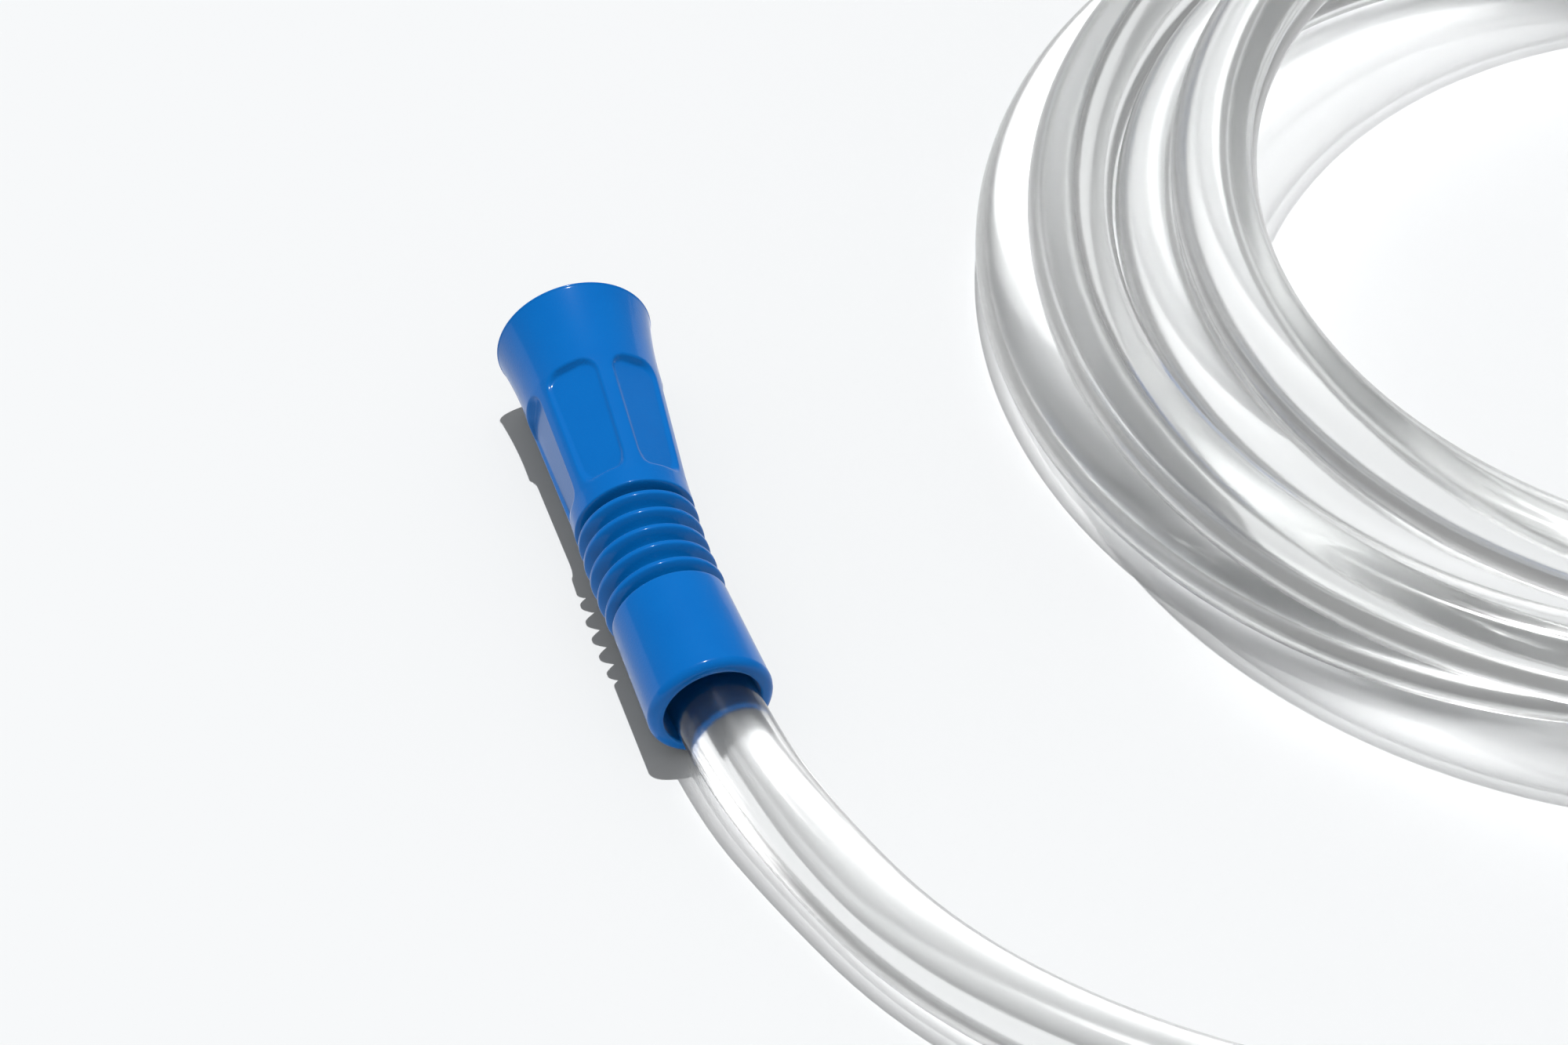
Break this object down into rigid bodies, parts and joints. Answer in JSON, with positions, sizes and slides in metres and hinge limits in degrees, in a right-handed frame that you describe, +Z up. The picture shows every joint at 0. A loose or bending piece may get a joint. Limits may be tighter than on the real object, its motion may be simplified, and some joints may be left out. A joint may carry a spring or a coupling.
{
  "type": "suction connecting tube",
  "caption": "Clear coiled suction hose with a soft blue moulded female connector on each end, each with a flared mouth, finger grip, ribbed flexible neck and hose skirt.",
  "frame": {"origin": "centre of the near connector's box, on the floor it lies on", "axes": "+Z up; +Y along the near connector towards its mouth; the hose leaves it towards -Y and its coil lies at +X"},
  "size_m": [0.24, 0.2424, 0.0314],
  "materials": {
    "blue_soft_pvc": "satin moulded",
    "clear_pvc": "clear gloss"
  },
  "bodies": {
    "root": {"near_skirt": "blue_soft_pvc", "near_neck_rear": "blue_soft_pvc", "hose_lead": "clear_pvc", "hose_coil": "clear_pvc", "hose_tail": "clear_pvc", "far_skirt": "blue_soft_pvc", "far_neck_rear": "blue_soft_pvc"},
    "near_neck": {"near_neck_middle": "blue_soft_pvc"},
    "near_mouth": {"near_mouthpiece": "blue_soft_pvc", "near_neck_front": "blue_soft_pvc"},
    "far_neck": {"far_neck_middle": "blue_soft_pvc"},
    "far_mouth": {"far_mouthpiece": "blue_soft_pvc", "far_neck_front": "blue_soft_pvc"}
  },
  "joints": [
    {"name": "near_neck_swing", "type": "hinge", "parent": "root", "child": "near_neck", "pos_m": [0.00032, -0.01196, 0.00813], "axis": [0, -0.0321, 0.9995], "range_deg": [-25, 25], "stiffness_Nm_per_rad": 0.15, "deforming": ["near_neck_rear"]},
    {"name": "near_neck_nod", "type": "hinge", "parent": "near_neck", "child": "near_mouth", "pos_m": [0, -0.00376, 0.0084], "axis": [1, 0, 0], "range_deg": [-25, 25], "stiffness_Nm_per_rad": 0.15, "deforming": ["near_neck_front"]},
    {"name": "far_neck_swing", "type": "hinge", "parent": "root", "child": "far_neck", "pos_m": [0.20603, 0.07699, 0.00813], "axis": [0.0096, -0.0306, 0.9995], "range_deg": [-25, 25], "stiffness_Nm_per_rad": 0.15, "deforming": ["far_neck_rear"]},
    {"name": "far_neck_nod", "type": "hinge", "parent": "far_neck", "child": "far_mouth", "pos_m": [0.20327, 0.08472, 0.0084], "axis": [0.9537, 0.3007, 0], "range_deg": [-25, 25], "stiffness_Nm_per_rad": 0.15, "deforming": ["far_neck_front"]}
  ]
}
